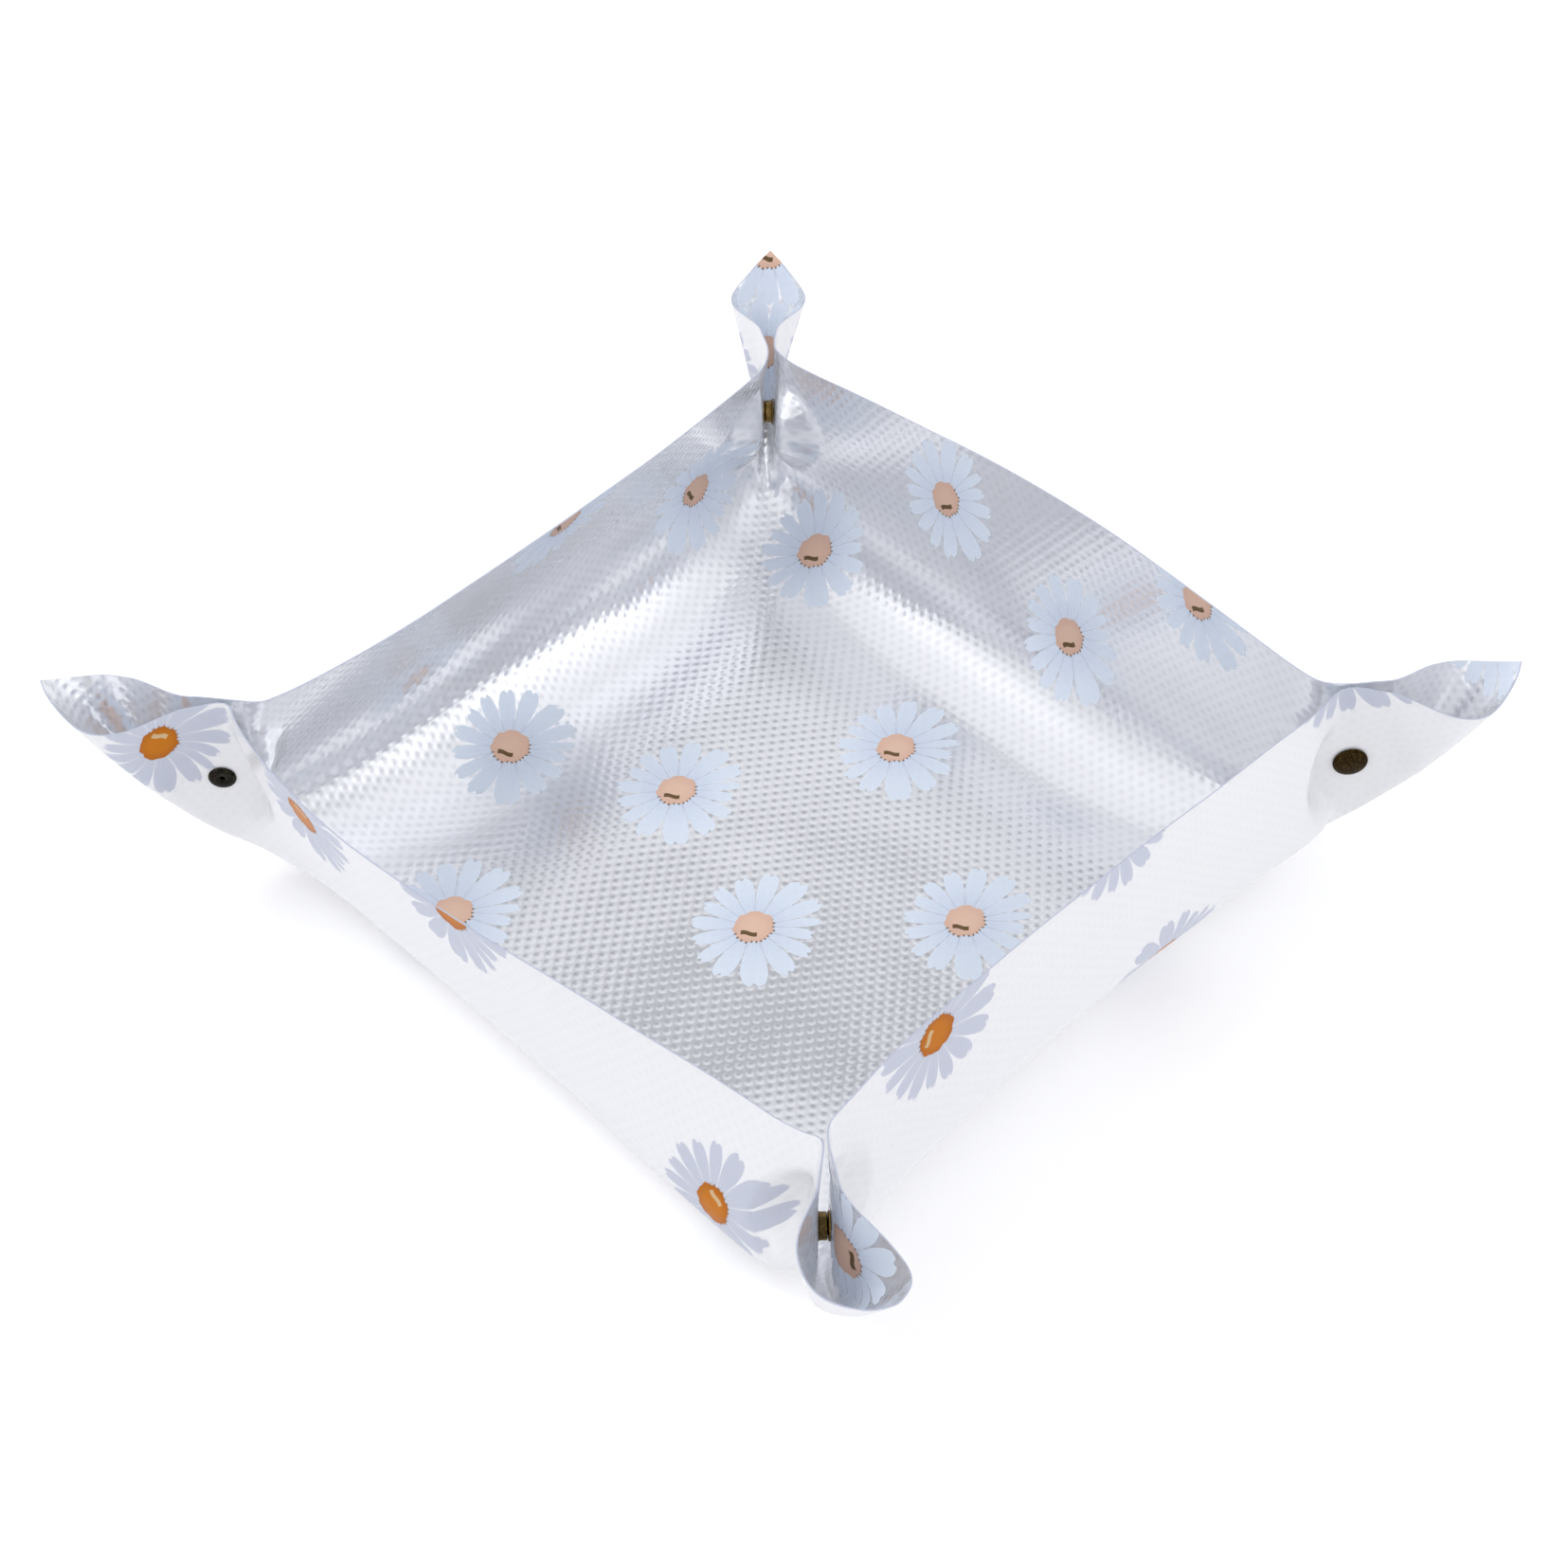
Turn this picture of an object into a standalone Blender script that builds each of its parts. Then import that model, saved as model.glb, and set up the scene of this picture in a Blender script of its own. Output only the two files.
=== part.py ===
"""Square repotting mat of clear embossed plastic, held up as a tray by a press stud at each corner.

Metres, +Z up. The mat rests on z = 0 with its centre over the origin and its walls facing +-X and +-Y.
A place on the mat is given flat, as if it lay open: (along X, along Y) from its centre.
"""

import math

import bmesh
import bpy
import numpy as np
from mathutils import Matrix, Vector

MM = 0.001

# The mat: one sheet, cut square.
MAT_SIDE = 500 * MM
SHEET_THICKNESS = 0.6 * MM
MOST_FLAT_CELL = 50 * MM
FINE_CELL = 8.4 * MM

# Each wall curls up out of the floor and ends in a free rim. The turn is its whole curl in degrees,
# at mid-wall; the slant shares shift and deepen the curl from one end of the wall to the other.
WALL_WIDTH = 150 * MM
WALL_BEND = 110 * MM
WALLS = {
    "x_plus": dict(axis=0, sign=1, turn=99, width_share=1.026, bend_share=1.125, slant_share=0.041, turn_slant=2),
    "x_minus": dict(axis=0, sign=-1, turn=115, width_share=0.954, bend_share=1.09, slant_share=0.005, turn_slant=-3),
    "y_plus": dict(axis=1, sign=1, turn=88, width_share=1.011, bend_share=0.94, slant_share=-0.094, turn_slant=2.5),
    "y_minus": dict(axis=1, sign=-1, turn=82, width_share=0.89, bend_share=0.74, slant_share=0.12, turn_slant=23.5),
}

# Where two walls meet they are pinched together, and the mat's corner stands out as a flap.
PINCH_FROM_RIM = 75 * MM
PINCH_HALF_GAP = 3.5 * MM
PINCH_TURN = 100
PINCH_BEND = 14 * MM
PINCH_BEND_FROM_RIM = 80.5 * MM
PINCH_BLEND_START = 99 * MM
PINCH_BLEND_END = 74 * MM
BEND_START_POWER = 2.75
BEND_LENGTH_POWER = 2.65

# The fold under each flap climbs along the mat's diagonal, gently out of the floor and then steeply.
FOLD_LIFT = 35
FOLD_LIFT_START = 190 * MM
FOLD_LIFT_END = 25 * MM
FOLD_RISE = 27
FOLD_RISE_START = 117 * MM
FOLD_RISE_END = 54 * MM
FOLD_ROUND = 12 * MM
FOLD_SHARPNESS = 2.9

# Past the pinch the flap opens into a rounded lobe.
LOBE_OPENING = 0.32
LOBE_ROUND = 3 * MM
LOBE_FLARE_START = 35 * MM
LOBE_FLARE_LENGTH = 35 * MM
LOBE_FLARE_BLEND = 30 * MM
LOBE_FLARE = 5.2 * MM
FLAP_SWING_START = 74 * MM
FLAP_SWING_END = 15 * MM
FLAP_SWING_PIVOT = 78 * MM

# The corners, by where they stand in a view from between -Y and +X. The swing, in degrees, and the dip
# are how far each flap leans off the mat's diagonal. The cap side is the wall that carries the cap.
CORNERS = {
    "front": dict(side=(1, -1), cap_axis=1, swing=16, dip=8.5 * MM),
    "right": dict(side=(1, 1), cap_axis=0, swing=9, dip=8 * MM),
    "back": dict(side=(-1, 1), cap_axis=1, swing=-3, dip=7.5 * MM),
    "left": dict(side=(-1, -1), cap_axis=0, swing=-3, dip=2 * MM),
}

# The press studs. Heights run along the stud's axis from the middle of the pinch to the cap.
SNAP_FROM_RIM = 41 * MM
SNAP_FROM_END = 83 * MM
CLEARANCE = 0.3 * MM
SNAP_SIDES = 24
SEAT_RADIUS = 15 * MM
SEAT_BLEND = 16 * MM
SHEET_HOLE = 2.1 * MM
HOLE_SIDES = 16
HOLE_CELL = 4 * SHEET_HOLE

SOCKET_HEIGHT = 3.8 * MM
SOCKET_RADIUS = 5.3 * MM
SOCKET_FLANGE = 6.3 * MM
SOCKET_FLANGE_THICKNESS = 0.5 * MM
SOCKET_BASE = 0.6 * MM
SOCKET_EDGE = 0.35 * MM
SPRING_WIRE = 0.4 * MM
SPRING_FROM_MOUTH = 1.2 * MM
SPRING_GAP = 26
SPRING_POINTS = 20

STUD_FLANGE = 5.7 * MM
STUD_FLANGE_THICKNESS = 0.8 * MM
STUD_HEAD = 3.3 * MM
STUD_NECK = 2.9 * MM
STUD_REACH = 2.1 * MM
STUD_WALL = 0.4 * MM
STUD_HOLE = 1.9 * MM
MOUTH_CLEARANCE = 0.4 * MM

RIVET_RADIUS = 1.6 * MM
RIVET_HEAD = 2.2 * MM
RIVET_HEAD_THICKNESS = 0.45 * MM
RIVET_BORE = 1.05 * MM
CAP_RADIUS = 7.5 * MM
CAP_RIM = 0.9 * MM
CAP_DOME = 1.9 * MM
POST_RADIUS = 5.8 * MM
POST_HEIGHT = 1.0 * MM

HALF = MAT_SIDE / 2
# A stud's hole in one ply lies SNAP_HIGH from the mat's centre one way and SNAP_LOW the other way.
SNAP_HIGH, SNAP_LOW = HALF - SNAP_FROM_RIM, HALF - SNAP_FROM_END
# Half the distance between the two plies' middles at a stud.
SEAT_HALF_GAP = (SHEET_THICKNESS + SOCKET_HEIGHT + STUD_FLANGE_THICKNESS + 3 * CLEARANCE) / 2
SECTION_SAMPLES = 41
FOLD_SAMPLES = 401


def s_curve(at, start, end):
    """0 up to start, 1 from end on, and a smooth S between."""
    share = np.clip((at - start) / (end - start), 0.0, 1.0)
    return share * share * (3.0 - 2.0 * share)


def running_sum(steps):
    """Adds up along the last axis, from zero."""
    zero = np.zeros(steps.shape[:-1] + (1,))
    return np.concatenate([zero, np.cumsum(steps, axis=-1)], axis=-1)


def fold_line(near):
    """The fold on the diagonal: distance out, height and slope where both flat coordinates equal near."""
    flat = np.linspace(0.0, HALF, FOLD_SAMPLES)
    lift = FOLD_LIFT * s_curve(flat, HALF - FOLD_LIFT_START, HALF + FOLD_LIFT_END)
    rise = FOLD_RISE * s_curve(flat, HALF - FOLD_RISE_START, HALF - FOLD_RISE_END)
    slope = np.radians(lift + rise)
    middle = (slope[1:] + slope[:-1]) / 2
    step = math.sqrt(2) * (flat[1] - flat[0])
    out = running_sum(np.cos(middle) * step)
    height = running_sum(np.sin(middle) * step)
    return np.interp(near, flat, out), np.interp(near, flat, height), np.interp(near, flat, slope)


def wall_points(far, near, end, wall):
    """Points of one wall and its halves of two flaps, as (out along the diagonal, across it, height).

    Each point is reached from the fold along a line of constant near, the flat distance along the
    wall. The line leaves the diagonal plane by the distance across, and the rest of each step goes
    out and up at the angle tilt, so the line keeps its flat length. End is the sign of the wall's end.
    """
    out, height, slope = fold_line(near)
    near, far, end = near[:, None], far[:, None], end[:, None]
    at = near + (far - near) * np.linspace(0.0, 1.0, SECTION_SAMPLES)[None]
    step = (far - near) / (SECTION_SAMPLES - 1)
    slope = slope[:, None]

    pinch = HALF - PINCH_FROM_RIM
    to_pinch = np.clip(near / pinch, 0.0, 1.0)
    uneven = end * to_pinch * (1.0 - to_pinch**4)
    start_mid = HALF - WALL_WIDTH * wall["width_share"]
    start_end = HALF - PINCH_BEND_FROM_RIM
    start = start_mid + (start_end - start_mid) * to_pinch**BEND_START_POWER
    start = start + WALL_WIDTH * wall["slant_share"] * uneven
    bend_mid = WALL_BEND * wall["bend_share"]
    bend = bend_mid + (PINCH_BEND - bend_mid) * to_pinch**BEND_LENGTH_POWER
    turn = wall["turn"] + (PINCH_TURN - wall["turn"]) * to_pinch**2 + wall["turn_slant"] * uneven
    first = np.arcsin(np.sin(slope) / math.sqrt(2))
    angle = first + (np.radians(turn) - first) * s_curve(at, start, start + bend)
    across_steps = (np.cos(angle[:, 1:]) + np.cos(angle[:, :-1])) / 2 * step / math.sqrt(2)
    wall_across = running_sum(across_steps)
    wall_tilt = np.arctan2(np.sin(angle), np.cos(angle) / math.sqrt(2))

    from_fold = (at - near) / math.sqrt(2)
    beyond = np.maximum(near - pinch, 0.0)
    opening = PINCH_HALF_GAP + LOBE_OPENING * (np.hypot(beyond, LOBE_ROUND) - LOBE_ROUND)
    flare = np.maximum(at - (HALF - LOBE_FLARE_START), 0.0) / LOBE_FLARE_LENGTH
    opening = opening + LOBE_FLARE * flare * s_curve(near, pinch, pinch + LOBE_FLARE_BLEND)
    share = from_fold / opening
    flap_across = from_fold / (1.0 + share**FOLD_SHARPNESS) ** (1.0 / FOLD_SHARPNESS)
    flap_tilt = slope + (math.pi / 2 - slope) * s_curve(at - near, 0.0, FOLD_ROUND)

    blend = s_curve(near, HALF - PINCH_BLEND_START, HALF - PINCH_BLEND_END)
    across = wall_across + (flap_across - wall_across) * blend
    tilt = wall_tilt + (flap_tilt - wall_tilt) * blend
    run = np.sqrt(np.maximum(step**2 - np.diff(across, axis=1) ** 2, 0.0))
    tilt = (tilt[:, 1:] + tilt[:, :-1]) / 2
    out = out + (run * np.cos(tilt)).sum(axis=1)
    height = height + (run * np.sin(tilt)).sum(axis=1)
    return np.stack([out, across[:, -1], height], axis=1)


def free_points(x, y):
    """The mat's middle surface in space for flat places x and y, before the studs' seats are pressed flat."""
    far, near = np.maximum(abs(x), abs(y)), np.minimum(abs(x), abs(y))
    side_x, side_y = np.where(x < 0, -1.0, 1.0), np.where(y < 0, -1.0, 1.0)
    on_x_wall = abs(x) >= abs(y)
    points = np.empty((len(x), 3))
    for wall in WALLS.values():
        if wall["axis"] == 0:
            chosen, end = on_x_wall & (side_x == wall["sign"]), side_y
        else:
            chosen, end = ~on_x_wall & (side_y == wall["sign"]), side_x
        if not chosen.any():
            continue
        out, across, height = wall_points(far[chosen], near[chosen], end[chosen], wall).T
        outer, inner = (out + across) / math.sqrt(2), (out - across) / math.sqrt(2)
        points[chosen] = np.stack([outer, inner, height] if wall["axis"] == 0 else [inner, outer, height], axis=1)
    pivot = HALF - FLAP_SWING_PIVOT
    for corner in CORNERS.values():
        chosen = (side_x == corner["side"][0]) & (side_y == corner["side"][1])
        share = s_curve(near[chosen], HALF - FLAP_SWING_START, HALF - FLAP_SWING_END)
        turn = np.radians(corner["swing"]) * share * corner["side"][0] * corner["side"][1]
        from_x, from_y = points[chosen, 0] - pivot, points[chosen, 1] - pivot
        points[chosen, 0] = pivot + from_x * np.cos(turn) - from_y * np.sin(turn)
        points[chosen, 1] = pivot + from_x * np.sin(turn) + from_y * np.cos(turn)
        points[chosen, 2] -= corner["dip"] * share
    points[:, 0] *= side_x
    points[:, 1] *= side_y
    return points


def corner_axes(corner):
    """(unit vector out along the diagonal, unit vector across it towards the cap's wall)."""
    side_x, side_y = corner["side"]
    out = np.array([side_x, side_y, 0.0]) / math.sqrt(2)
    towards = 1.0 if corner["cap_axis"] == 0 else -1.0
    across = towards * np.array([side_x, -side_y, 0.0]) / math.sqrt(2)
    return out, across


def stud_place(corner):
    """(centre of the stud between the plies, direction in which the rim lies from it)."""
    out, across = corner_axes(corner)
    side_x, side_y = corner["side"]
    x = np.array([SNAP_HIGH, SNAP_LOW, SNAP_HIGH + SEAT_RADIUS, SNAP_LOW]) * side_x
    y = np.array([SNAP_LOW, SNAP_HIGH, SNAP_LOW, SNAP_HIGH + SEAT_RADIUS]) * side_y
    points = free_points(x, y)
    points -= np.outer(points @ across, across)
    up = points[2] + points[3] - points[0] - points[1]
    return (points[0] + points[1]) / 2, up / np.linalg.norm(up)


def mat_points(x, y):
    """The mat's middle surface in space, with a flat seat pressed round each stud's two holes."""
    points = free_points(x, y)
    for corner in CORNERS.values():
        out, across = corner_axes(corner)
        centre, up = stud_place(corner)
        along = out * up[2] - np.array([0.0, 0.0, 1.0]) * (up @ out)
        side_x, side_y = corner["side"]
        for axis in (0, 1):
            leaf = 1.0 if axis == corner["cap_axis"] else -1.0
            far_by = (x * side_x if axis == 0 else y * side_y) - SNAP_HIGH
            near_by = (y * side_y if axis == 0 else x * side_x) - SNAP_LOW
            weight = 1.0 - s_curve(np.hypot(far_by, near_by), SEAT_RADIUS, SEAT_RADIUS + SEAT_BLEND)
            seat = centre + leaf * SEAT_HALF_GAP * across + np.outer(far_by, up) + np.outer(near_by, along)
            points += weight[:, None] * (seat - points)
    points[:, 2] += SHEET_THICKNESS / 2
    return points


def material(name, color, roughness, metallic, alpha=1.0):
    made = bpy.data.materials.new(name)
    made.use_nodes = True
    shader = made.node_tree.nodes["Principled BSDF"]
    shader.inputs["Base Color"].default_value = (*color, 1.0)
    shader.inputs["Roughness"].default_value = roughness
    shader.inputs["Metallic"].default_value = metallic
    shader.inputs["Alpha"].default_value = alpha
    return made


def new_object(name, mesh, finish):
    made = bpy.data.objects.new(name, mesh)
    bpy.context.scene.collection.objects.link(made)
    mesh.materials.append(finish)
    return made


def turned_mesh(name, profile):
    """A solid of revolution about local Z. The profile is a list of (radius, height); one that starts
    and ends off the axis is a ring, closed from its last point to its first."""
    bm = bmesh.new()
    points = [bm.verts.new((radius, 0.0, height)) for radius, height in profile]
    edges = [bm.edges.new(pair) for pair in zip(points, points[1:])]
    if profile[0][0] > 0:
        edges.append(bm.edges.new((points[-1], points[0])))
    bmesh.ops.spin(bm, geom=points + edges, cent=(0, 0, 0), axis=(0, 0, 1), angle=math.tau, steps=SNAP_SIDES)
    bmesh.ops.remove_doubles(bm, verts=bm.verts, dist=CLEARANCE / 30)
    bmesh.ops.recalc_face_normals(bm, faces=bm.faces)
    mesh = bpy.data.meshes.new(name)
    bm.to_mesh(mesh)
    bm.free()
    mesh.shade_smooth()
    mesh.set_sharp_from_angle(angle=math.radians(35))
    return mesh


def grid_lines():
    """Flat places of the grid lines, wide apart on the floor and close where the sheet curls.

    One cell, HOLE_CELL wide, has each place of a stud's hole in its middle."""
    curl = HALF - max(wall["width_share"] for wall in WALLS.values()) * WALL_WIDTH
    half = list(np.linspace(0.0, curl, max(1, math.ceil(curl / MOST_FLAT_CELL)) + 1)[1:])
    for hole in (SNAP_LOW, SNAP_HIGH):
        fine = np.linspace(half[-1], hole - HOLE_CELL / 2, math.ceil((hole - half[-1]) / FINE_CELL) + 1)
        half += [*fine[1:], hole + HOLE_CELL / 2]
    half += list(np.linspace(half[-1], HALF, math.ceil((HALF - half[-1]) / FINE_CELL) + 1)[1:])
    half = np.array(half)
    return np.concatenate([-half[::-1], [0.0], half])


def hole_faces(corners, ring):
    """Triangles between a cell's four corners and the ring of points round the hole in its middle."""
    quarter = HOLE_SIDES // 4
    faces = []
    for turn in range(4):
        corner, following = corners[(turn + 2) % 4], corners[(turn + 3) % 4]
        near = [ring[(turn * quarter + point) % HOLE_SIDES] for point in range(quarter + 1)]
        faces += [(corner, after, before) for before, after in zip(near, near[1:])]
        faces.append((corner, following, near[-1]))
    return faces


def make_sheet(finish):
    lines = grid_lines()
    count = len(lines)
    flat_x, flat_y = (side.ravel() for side in np.meshgrid(lines, lines, indexing="ij"))
    index = np.arange(count * count).reshape(count, count)
    corners = np.stack([index[:-1, :-1], index[1:, :-1], index[1:, 1:], index[:-1, 1:]], axis=-1)
    middle = (lines[1:] + lines[:-1]) / 2
    # Each cell is split along the fold that runs to its own corner of the mat.
    along = (middle[:, None] * middle[None] > 0)[..., None]
    first = np.where(along, corners[..., [0, 1, 2]], corners[..., [0, 1, 3]])
    second = np.where(along, corners[..., [0, 2, 3]], corners[..., [1, 2, 3]])

    # Each stud has a hole in both of its plies.
    whole = np.ones((count - 1, count - 1), bool)
    turn = np.linspace(0.0, math.tau, HOLE_SIDES, endpoint=False)
    holed = []
    for side_x, side_y in (corner["side"] for corner in CORNERS.values()):
        for hole_x, hole_y in ((SNAP_HIGH * side_x, SNAP_LOW * side_y), (SNAP_LOW * side_x, SNAP_HIGH * side_y)):
            cell = tuple(np.searchsorted(lines, (hole_x, hole_y)) - 1)
            whole[cell] = False
            holed += hole_faces(corners[cell].tolist(), range(len(flat_x), len(flat_x) + HOLE_SIDES))
            flat_x = np.append(flat_x, hole_x + SHEET_HOLE * np.cos(turn))
            flat_y = np.append(flat_y, hole_y + SHEET_HOLE * np.sin(turn))
    mesh = bpy.data.meshes.new("mat_sheet")
    faces = first[whole].tolist() + second[whole].tolist() + holed
    mesh.from_pydata(mat_points(flat_x, flat_y).tolist(), [], faces)
    mesh.shade_smooth()
    sheet = new_object("mat_sheet", mesh, finish)
    wall = sheet.modifiers.new("thickness", "SOLIDIFY")
    wall.thickness = SHEET_THICKNESS
    wall.offset = 0.0
    return sheet


# Heights of the stud's parts along its axis, from the middle of the pinch.
PLY_INNER = SEAT_HALF_GAP - SHEET_THICKNESS / 2
PLY_OUTER = SEAT_HALF_GAP + SHEET_THICKNESS / 2
SOCKET_TOP = PLY_INNER - CLEARANCE
MOUTH = SOCKET_TOP - SOCKET_HEIGHT
STUD_BACK = -PLY_INNER + CLEARANCE
STUD_FLANGE_TOP = STUD_BACK + STUD_FLANGE_THICKNESS
SPRING_HEIGHT = MOUTH + SPRING_FROM_MOUTH
SPRING_RADIUS = STUD_HEAD - SPRING_WIRE / 4 + SPRING_WIRE


def cap_profile():
    """A shallow dome with a rolled rim, and a rivet that is spread inside the socket."""
    back = PLY_OUTER + CLEARANCE
    spread = SOCKET_TOP - SOCKET_BASE - CLEARANCE
    return [
        (0.0, back + CAP_DOME),
        (CAP_RADIUS * 0.45, back + CAP_DOME * 0.94),
        (CAP_RADIUS * 0.78, back + CAP_DOME * 0.74),
        (CAP_RADIUS * 0.95, back + CAP_RIM),
        (CAP_RADIUS, back + CAP_RIM / 2),
        (CAP_RADIUS * 0.95, back),
        (RIVET_RADIUS, back),
        (RIVET_RADIUS, spread),
        (RIVET_HEAD, spread),
        (RIVET_HEAD - RIVET_HEAD_THICKNESS / 2, spread - RIVET_HEAD_THICKNESS),
        (0.0, spread - RIVET_HEAD_THICKNESS),
    ]


def socket_profile():
    """A cup with a flange against the sheet, a mouth for the stud, and a groove for the spring."""
    mouth = STUD_HEAD + MOUTH_CLEARANCE
    groove = SPRING_RADIUS + SPRING_WIRE + CLEARANCE
    groove_half = SPRING_WIRE + CLEARANCE / 2
    ceiling = SOCKET_TOP - SOCKET_BASE
    return [
        (SHEET_HOLE, SOCKET_TOP),
        (SOCKET_FLANGE, SOCKET_TOP),
        (SOCKET_FLANGE, SOCKET_TOP - SOCKET_FLANGE_THICKNESS),
        (SOCKET_RADIUS, SOCKET_TOP - 2 * SOCKET_FLANGE_THICKNESS),
        (SOCKET_RADIUS, MOUTH + SOCKET_EDGE),
        (SOCKET_RADIUS - SOCKET_EDGE, MOUTH),
        (mouth, MOUTH),
        (mouth, SPRING_HEIGHT - groove_half),
        (groove, SPRING_HEIGHT - groove_half),
        (groove, SPRING_HEIGHT + groove_half),
        (mouth, SPRING_HEIGHT + groove_half),
        (mouth, ceiling),
        (SHEET_HOLE, ceiling),
    ]


def stud_profile():
    """A pressed flange with a hollow head whose neck the spring grips."""
    top = MOUTH + STUD_REACH
    hollow = STUD_NECK - STUD_WALL
    return [
        (STUD_HOLE, STUD_BACK),
        (STUD_FLANGE, STUD_BACK),
        (STUD_FLANGE, STUD_FLANGE_TOP - STUD_WALL / 2),
        (STUD_FLANGE - STUD_WALL, STUD_FLANGE_TOP),
        (STUD_NECK, STUD_FLANGE_TOP),
        (STUD_NECK, SPRING_HEIGHT),
        (STUD_HEAD, SPRING_HEIGHT + SPRING_WIRE),
        (STUD_HEAD - STUD_WALL, top),
        (hollow, top),
        (hollow, STUD_BACK + STUD_WALL),
        (STUD_HOLE, STUD_BACK + STUD_WALL),
    ]


def post_profile():
    """An eyelet: a domed ring behind the sheet, and a tube that is spread inside the stud's head."""
    face = -PLY_OUTER - CLEARANCE
    back = face - POST_HEIGHT
    spread = STUD_BACK + STUD_WALL + CLEARANCE
    return [
        (RIVET_BORE, spread + RIVET_HEAD_THICKNESS),
        (RIVET_BORE, back + POST_HEIGHT / 2),
        (RIVET_BORE * 1.9, back),
        (POST_RADIUS * 0.82, back + POST_HEIGHT * 0.15),
        (POST_RADIUS, back + POST_HEIGHT * 0.55),
        (POST_RADIUS * 0.97, face),
        (RIVET_RADIUS, face),
        (RIVET_RADIUS, spread),
        (RIVET_HEAD, spread),
        (RIVET_HEAD - RIVET_HEAD_THICKNESS / 2, spread + RIVET_HEAD_THICKNESS),
    ]


def make_spring(name, finish):
    """A split wire ring that lies in the socket's groove."""
    curve = bpy.data.curves.new(name, "CURVE")
    curve.dimensions = "3D"
    curve.bevel_depth = SPRING_WIRE
    curve.bevel_resolution = 1
    curve.use_fill_caps = True
    line = curve.splines.new("POLY")
    line.points.add(SPRING_POINTS - 1)
    gap = math.radians(SPRING_GAP)
    for point, turn in zip(line.points, np.linspace(gap / 2, math.tau - gap / 2, SPRING_POINTS)):
        point.co = (SPRING_RADIUS * math.cos(turn), SPRING_RADIUS * math.sin(turn), SPRING_HEIGHT, 1.0)
    return new_object(name, curve, finish)


def build():
    for old in list(bpy.data.objects):
        bpy.data.objects.remove(old, do_unlink=True)
    plastic = material("clear_embossed_plastic", (0.86, 0.87, 0.89), 0.16, 0.0, 0.55)
    brass = material("antique_brass", (0.30, 0.22, 0.09), 0.34, 1.0)
    socket_brass = material("socket_brass", (0.36, 0.27, 0.12), 0.38, 1.0)
    stud_brass = material("stud_brass", (0.38, 0.29, 0.13), 0.36, 1.0)
    post_metal = material("blackened_brass", (0.05, 0.045, 0.04), 0.42, 1.0)
    steel = material("spring_steel", (0.55, 0.54, 0.52), 0.3, 1.0)

    make_sheet(plastic)
    turned = {
        "snap_cap": (turned_mesh("snap_cap", cap_profile()), brass),
        "snap_socket": (turned_mesh("snap_socket", socket_profile()), socket_brass),
        "snap_stud": (turned_mesh("snap_stud", stud_profile()), stud_brass),
        "snap_post": (turned_mesh("snap_post", post_profile()), post_metal),
    }
    for corner_name, corner in CORNERS.items():
        across = Vector(corner_axes(corner)[1])
        centre, up = stud_place(corner)
        centre[2] += SHEET_THICKNESS / 2
        side = Vector(up).cross(across)
        turn = Matrix((side, up, across)).transposed().to_4x4()
        place = Matrix.Translation(centre) @ turn
        for piece, (mesh, finish) in turned.items():
            own = mesh.copy()
            own.name = f"{piece}_{corner_name}"
            made = new_object(own.name, own, finish)
            made.matrix_world = place
        make_spring(f"snap_spring_{corner_name}", steel).matrix_world = place


build()
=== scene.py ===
"""A square repotting mat of clear embossed plastic with a daisy print, its corners pinched up by press
studs into a tray. Metres, +Z up: the mat rests on z = 0 with its centre over the origin."""

import math

import bpy
import numpy as np
from mathutils import Matrix, Vector


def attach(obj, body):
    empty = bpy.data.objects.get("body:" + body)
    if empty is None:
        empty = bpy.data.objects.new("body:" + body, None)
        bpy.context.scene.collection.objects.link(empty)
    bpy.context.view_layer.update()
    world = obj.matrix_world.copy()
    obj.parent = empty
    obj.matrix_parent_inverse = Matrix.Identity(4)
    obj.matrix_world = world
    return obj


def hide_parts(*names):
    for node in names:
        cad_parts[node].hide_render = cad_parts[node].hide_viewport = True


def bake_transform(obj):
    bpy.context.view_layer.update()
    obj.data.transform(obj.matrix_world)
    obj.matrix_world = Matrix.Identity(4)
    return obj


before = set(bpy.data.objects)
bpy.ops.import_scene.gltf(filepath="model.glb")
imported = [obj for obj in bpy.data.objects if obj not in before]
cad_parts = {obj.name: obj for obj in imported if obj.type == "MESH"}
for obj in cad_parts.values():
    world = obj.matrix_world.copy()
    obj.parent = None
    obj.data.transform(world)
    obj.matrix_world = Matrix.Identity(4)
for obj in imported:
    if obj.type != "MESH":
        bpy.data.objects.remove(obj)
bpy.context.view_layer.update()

# The mat: one square of soft clear plastic, 0.6 mm thick and 500 mm a side. It lies flat in the
# middle, its sides curl up into walls, and each corner is folded along the mat's diagonal so that
# two plies of wall meet in a pinch with a loose flap beyond it.

MAT_SIDE = 0.5
HALF = MAT_SIDE / 2
SHEET_THICKNESS = 0.0006
# The grid's spacing, and the steps that the fold and a wall are added up in.
CELL = 0.003125
FOLD_STEPS = 400
WALL_STEPS = 40

WALL_WIDTH = 0.150
WALL_BEND = 0.110
# Each wall's turn at its middle in degrees, its width and bend as shares of the two above, and how much
# its start and its turn differ from one end to the other.
WALLS = {
    "x_plus": dict(
        axis=0, sign=1, turn=99, width_share=1.026, bend_share=1.125, slant_share=0.041, turn_slant=2
    ),
    "x_minus": dict(
        axis=0, sign=-1, turn=115, width_share=0.954, bend_share=1.09, slant_share=0.005, turn_slant=-3
    ),
    "y_plus": dict(
        axis=1, sign=1, turn=88, width_share=1.011, bend_share=0.94, slant_share=-0.094, turn_slant=2.5
    ),
    "y_minus": dict(
        axis=1, sign=-1, turn=82, width_share=0.89, bend_share=0.74, slant_share=0.12, turn_slant=23.5
    ),
}
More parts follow.
